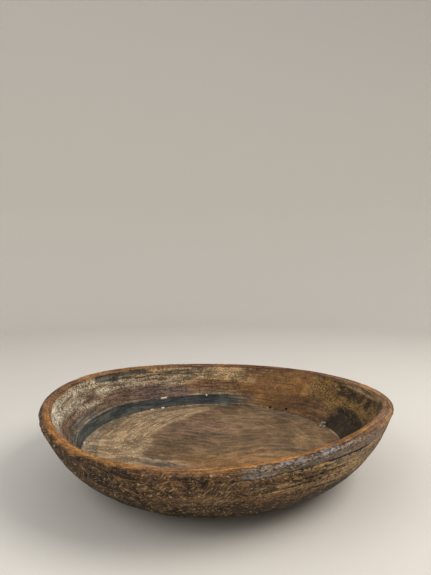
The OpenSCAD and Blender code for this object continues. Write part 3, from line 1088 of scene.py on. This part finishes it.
def bowl_wood(groups):
    """Old waxed hardwood, darkened and worn, its colours laid on over the mesh."""
    material, tree, shader, coords = new_material("bowl_wood")
    ground, _ = stored(tree, "ground")
    fleck, _ = stored(tree, "fleck")
    around, _ = stored(tree, "around")
    _, pattern = stored(tree, "pattern")
    _, marks = stored(tree, "marks")

    # Streaks of the grain along X, streaks around the wall, and short dashes of end grain
    wavy = use(tree, groups["bent"], Vector=coords, Scale=7.0, Amount=0.065)
    wavy_around = use(tree, groups["bent"], Vector=around, Scale=12.0, Amount=0.007)
    grain = use(tree, groups["streaks"], Vector=wavy, Stretch=GRAIN, Contrast=0.2)
    rounds = use(tree, groups["streaks"], Vector=wavy_around, Stretch=ROUND_STREAKS, Contrast=0.16)
    dashes = use(tree, groups["streaks"], Vector=wavy_around, Stretch=END_GRAIN, Contrast=0.10)
    lines = between(tree, pattern[1], grain, rounds)
    share = between(tree, pattern[0], lines, dashes)
    mottle = noise_of(tree, coords, MOTTLE, 6.0, 0.85)
    cloud = noise_of(tree, coords, CLOUDS, 4.0, 0.65)
    share = centred(tree, ((share, 1.0), (mottle, 2.8), (cloud, 1.7)), 0.5)
    share = step(tree, share, 0.0, 1.0)
    colour = blend(tree, share, ground, fleck)

    # Finer grain lines, dark specks and open pores
    fine = noise_of(tree, wavy, FINE_GRAIN, 4.0, 0.75)
    fine_around = noise_of(tree, wavy_around, FINE_ROUNDS, 4.0, 0.75)
    fine = between(tree, pattern[1], fine, fine_around)
    shade = noise_of(tree, coords, SHADING, 3.0, 0.5)
    fine_share = plus(tree, 1.5, times(tree, pattern[1], 2.1))
    light = centred(tree, ((fine, fine_share), (mottle, 1.8), (shade, 1.8)), 1.16)
    specks = step(tree, noise_of(tree, wavy_around, PORES, 3.0, 0.65), 0.56, 0.62)
    light = darken(tree, light, specks, plus(tree, 0.30, times(tree, pattern[0], 0.40)))

    # Grooves left by the tools: thin dark lines around the bowl, or along the grain
    arcs = use(tree, groups["grooves"], Vector=wavy_around, Stretch=TOOL_ARCS, Width=0.045)
    furrows = use(tree, groups["grooves"], Vector=wavy, Stretch=FURROWS)
    grooves = between(tree, pattern[1], furrows, arcs)
    light = darken(tree, light, grooves, times(tree, marks[0], 0.7))

    # Curved strokes, dark and pale, that lie one way in some places and another in others
    swirled = use(tree, groups["bent"], Vector=around, Scale=12.0, Amount=0.034)
    dark_strokes = step(tree, noise_of(tree, swirled, DARK_STROKES, 3.0, 0.6), 0.54, 0.62)
    light = darken(tree, light, dark_strokes, times(tree, marks[0], 0.38))
    colour = lit(tree, colour, light)
    flakes = step(tree, noise_of(tree, wavy_around, FLAKES, 2.0, 0.6), 0.57, 0.63)
    flakes = times(tree, flakes, step(tree, pattern[0], 0.3, 1.0, 0.0, 0.75))
    bright = on_vectors(tree, "MULTIPLY", ground, (1.35, 1.35, 1.35))
    colour = blend(tree, flakes, colour, bright)
    level = use(tree, groups["strokes"], Vector=swirled, Angle=0.0)
    rising = use(tree, groups["strokes"], Vector=swirled, Angle=math.radians(RISING))
    falling = use(tree, groups["strokes"], Vector=swirled, Angle=math.radians(FALLING))
    which = step(tree, noise_of(tree, coords, STROKE_PLACES, 2.0), 0.46, 0.54)
    slanted = between(tree, which, rising, falling)
    along = step(tree, plus(tree, pattern[1], minus(tree, cloud, 0.5)), 0.55, 0.85)
    strokes = between(tree, along, slanted, level)
    scratches = use(tree, groups["hairlines"], Vector=swirled, Stretch=HAIRLINES, Width=0.02)
    scratches = maths(tree, "MAXIMUM", times(tree, scratches, 0.6), strokes)
    scratches = times(tree, scratches, marks[0])
    colour = blend(tree, times(tree, scratches, 0.84), colour, STROKE)
    nicks = step(tree, noise_of(tree, coords, NICKS, 2.0), 0.66, 0.70)
    colour = blend(tree, times(tree, nicks, marks[0]), colour, NICKED)

    # Worn edges, and grime with painted shade in cracks and holes
    worn = use(tree, groups["frayed"], Vector=coords, Mask=marks[2], Size=0.006, Softness=0.12)
    bare = on_vectors(tree, "MULTIPLY_ADD", colour, (1.7, 1.7, 1.7), BARE)
    colour = blend(tree, times(tree, worn, 0.8), colour, bare)
    grime_and_shade = step(tree, marks[1], 0.05, 0.40)
    colour = blend(tree, times(tree, grime_and_shade, 0.92), colour, GRIME_AND_SHADE)
    tree.links.new(colour, shader.inputs["Base Color"])

    # Wax sheen, duller where the wood is open
    shader.inputs["Specular IOR Level"].default_value = 0.28
    shader.inputs["Coat Roughness"].default_value = 0.30
    wax = step(tree, plus(tree, pattern[2], minus(tree, mottle, 0.5)), 0.35, 1.1)
    tree.links.new(times(tree, wax, 0.5), shader.inputs["Coat Weight"])
    rough = minus(tree, 0.74, times(tree, pattern[2], 0.25))
    rough = plus(tree, rough, times(tree, minus(tree, mottle, 0.5), 0.5))
    rough = plus(tree, rough, times(tree, plus(tree, worn, grime_and_shade), 0.1))
    tree.links.new(rough, shader.inputs["Roughness"])

    # Surface: grain, pores, strokes, scratches and small dents
    dents = noise_of(tree, coords, DENTS, 4.0, 0.6)
    height = times(tree, fine, 0.35)
    height = plus(tree, height, times(tree, dents, 1.0))
    for dip, depth in ((specks, 0.35), (grooves, 0.4), (share, 0.3), (dark_strokes, 0.35)):
        height = minus(tree, height, times(tree, dip, depth))
    bump(tree, shader, height, 0.9, 0.0015)
    return material


def filler(name, groups, putty, speck):
    """Dry crumbly filling, pale on its high places and dark in its pits."""
    pale, dark = putty
    material, tree, shader, coords = new_material(name)
    specks = use(tree, groups["specks"], Vector=coords, Size=speck, Share=0.36, Softness=0.06)
    _, crumb = stored(tree, "crumb")
    colour = blend(tree, specks, blend(tree, crumb[0], dark, pale), dark)
    crumbs = noise_of(tree, coords, CRUMBS, 4.0, 0.6)
    light = step(tree, crumbs, 0.3, 0.7, 0.8, 1.15)
    colour = lit(tree, colour, light)
    tree.links.new(colour, shader.inputs["Base Color"])
    tree.links.new(step(tree, crumbs, 0.3, 0.7, 0.75, 0.95), shader.inputs["Roughness"])
    bump(tree, shader, crumbs, 0.8, 0.0005)
    return material


# ---------------------------------------------------------------- pieces
def in_scene(name, data):
    """A new object in the scene."""
    made = bpy.data.objects.new(name, data)
    bpy.context.scene.collection.objects.link(made)
    return made


def skinned(name, mesh, material):
    """A mesh in the scene, smooth and in one material."""
    mesh.materials.append(material)
    mesh.polygons.foreach_set("use_smooth", [True] * len(mesh.polygons))
    return in_scene(name, mesh)


def as_piece(mesh, name, material, node):
    """Shows a mesh as a piece that stands for a CAD node."""
    piece = skinned(name, mesh, material)
    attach(piece, "root")
    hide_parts(node)
    return piece


def carve_bowl(material):
    """The block of wood, from its outline to its worn surface and its colours."""
    bm = spun_bowl()
    for finer in FINER_PLACES:
        refine_near(bm, *finer)
    mesh = finished(bm, "carved_bowl")
    surface = Surface(mesh)
    slide_wall(surface)
    surface.push(relief(surface))
    press_pits(surface)
    coat = Coat(surface)
    for paint in (paint_outside, paint_rim, paint_hollow, paint_floor, paint_marks):
        paint(coat)
    coat.store()
    return as_piece(mesh, "carved_bowl", material, "bowl_body")


def plug(name, length, width, depth, proud, seed, hole=None, lumps=()):
    """A crumbly filling: a round-ended plug with a rough top.

    A hole is an open pit in it, as (x, y, radius). Lumps are paler crumbs that stand up, as
    (x, y, size), and a plug without any is pale all over.
    """
    bm = bmesh.new()
    bmesh.ops.create_uvsphere(bm, u_segments=56, v_segments=40, radius=1.0)
    crumb = bm.verts.layers.float.new("crumb")
    half = (length - width) / 2
    for v in bm.verts:
        flat = Vector((v.co.x, v.co.y))
        lean = flat.length
        boxy = min(1.0, lean * 1.18)
        side = flat.normalized() * boxy if lean > 1e-6 else flat
        x, y = side * (width / 2)
        y += half * max(-1.0, min(1.0, side.y * 2))
        z = depth * v.co.z if v.co.z > 0 else proud * v.co.z
        lump = noise.noise(Vector((x, y, z)) * CRUMB_SCALE + Vector((seed, 0, 0)))
        shrink = 1 - 0.10 * abs(lump)
        top = 1 + 0.35 * lump if z < 0 else 1
        v[crumb] = 0 if lumps else 1
        for lump_x, lump_y, size in lumps:
            near = math.hypot(x - lump_x, y - lump_y) / size * (1 + 0.5 * lump)
            raised = float(ease(1.5 - near)) if z < 0 else 0
            v[crumb] = max(v[crumb], raised)
            z -= 0.5 * size * raised
        if hole and z < 0:
            away = math.hypot(x - hole[0], y - hole[1]) / hole[2]
            z += (KNOT_HOLE_DEPTH + proud) * ease((1.25 - away) / 0.5)
            v[crumb] *= float(ease((away - 0.9) / 0.5))
        v.co = (x * shrink, y * shrink, z * top)
    bmesh.ops.recalc_face_normals(bm, faces=bm.faces)
    return finished(bm, name)


def fill_knot(material):
    wide = 2 * KNOT_R
    mesh = plug("knot_fill", wide, wide, KNOT_DEPTH, KNOT_LEVEL, 3.0, KNOT_HOLE, KNOT_LUMPS)
    mesh.transform(into_wood(4, KNOT_TURN, FLOOR_EDGE_DIP))
    return as_piece(mesh, "knot_fill", material, "knot_filler")


def fill_nicks(material):
    for k, (matrix, length) in enumerate(nick_places()):
        name = f"nick_fill_{k + 1}"
        mesh = plug(name, length, NICK_W, NICK_DEPTH, NICK_PROUD, 7.0 * k)
        mesh.transform(matrix)
        as_piece(mesh, name, material, "nick_fillings")


# ---------------------------------------------------------------- stage, light and camera
STAGE_R = 2.6
STAGE_WALL_H = 2.4
STAGE_BEND = 0.9
STAGE_STEPS = 96
STAGE_PAINT = (214, 209, 201)

# Lamps, as (name, place, size, watts, colour)
LAMPS = (
    ("window_light", (1.25, -0.45, 1.5), 1.0, 26, (1.0, 0.97, 0.93)),
    ("fill_light", (-1.2, -1.0, 1.3), 1.4, 13, (0.95, 0.98, 1.0)),
)
LAMPS_AIM = (0, 0, 0.05)
AIR_COLOUR = (0.95, 0.97, 1.0)
AIR_STRENGTH = 0.66

CAMERA_SPOT = (-0.0040, -0.6583, 0.2952)
CAMERA_DIP = 2.07
CAMERA_LENS = 27.05
CAMERA_SENSOR = 36


def set_stage():
    """A round pale floor that curves up into a wall."""
    bm = bmesh.new()
    line = [(0.0, 0.0)]
    for degrees in range(0, 100, 10):
        a = math.radians(degrees)
        line.append((STAGE_R - STAGE_BEND * (1 - math.sin(a)), STAGE_BEND * (1 - math.cos(a))))
    line.append((STAGE_R, STAGE_WALL_H))
    spin_line(bm, [bm.verts.new((r, 0, z)) for r, z in line], STAGE_STEPS)
    bmesh.ops.reverse_faces(bm, faces=bm.faces)
    material, _, shader, _ = new_material("studio_paint")
    shader.inputs["Base Color"].default_value = (*srgb(*STAGE_PAINT), 1)
    shader.inputs["Roughness"].default_value = 0.9
    shader.inputs["Specular IOR Level"].default_value = 0.1
    floor = skinned("studio_floor", finished(bm, "studio_floor"), material)


def add_lamp(name, spot, size, watts, colour):
    lamp = bpy.data.lights.new(name, "AREA")
    lamp.shape = "SQUARE"
    lamp.size = size
    lamp.energy = watts
    lamp.color = colour
    holder = in_scene(name, lamp)
    holder.location = spot
    aim = Vector(LAMPS_AIM) - Vector(spot)
    holder.rotation_euler = aim.to_track_quat("-Z", "Y").to_euler()


def light_bowl():
    world = bpy.data.worlds.new("studio_air")
    world.use_nodes = True
    air = world.node_tree.nodes["Background"].inputs
    air["Color"].default_value = (*AIR_COLOUR, 1)
    air["Strength"].default_value = AIR_STRENGTH
    bpy.context.scene.world = world
    for lamp in LAMPS:
        add_lamp(*lamp)


def set_camera():
    camera = bpy.data.cameras.new("camera")
    camera.sensor_width = CAMERA_SENSOR
    camera.lens = CAMERA_LENS
    holder = in_scene("camera", camera)
    holder.location = CAMERA_SPOT
    holder.rotation_euler = (math.radians(90 - CAMERA_DIP), 0, 0)
    bpy.context.scene.camera = holder


bpy.context.scene.view_settings.view_transform = "Standard"
node_groups = {
    "streaks": streaks_group(),
    "specks": specks_group(),
    "hairlines": hairlines_group(),
    "grooves": grooves_group(),
    "strokes": strokes_group(),
    "frayed": frayed_group(),
    "bent": bent_group(),
}
carve_bowl(bowl_wood(node_groups))
fill_knot(filler("knot_filling", node_groups, KNOT_PUTTY, KNOT_SPECK))
fill_nicks(filler("nick_filling", node_groups, NICK_PUTTY, NICK_SPECK))
set_stage()
light_bowl()
set_camera()
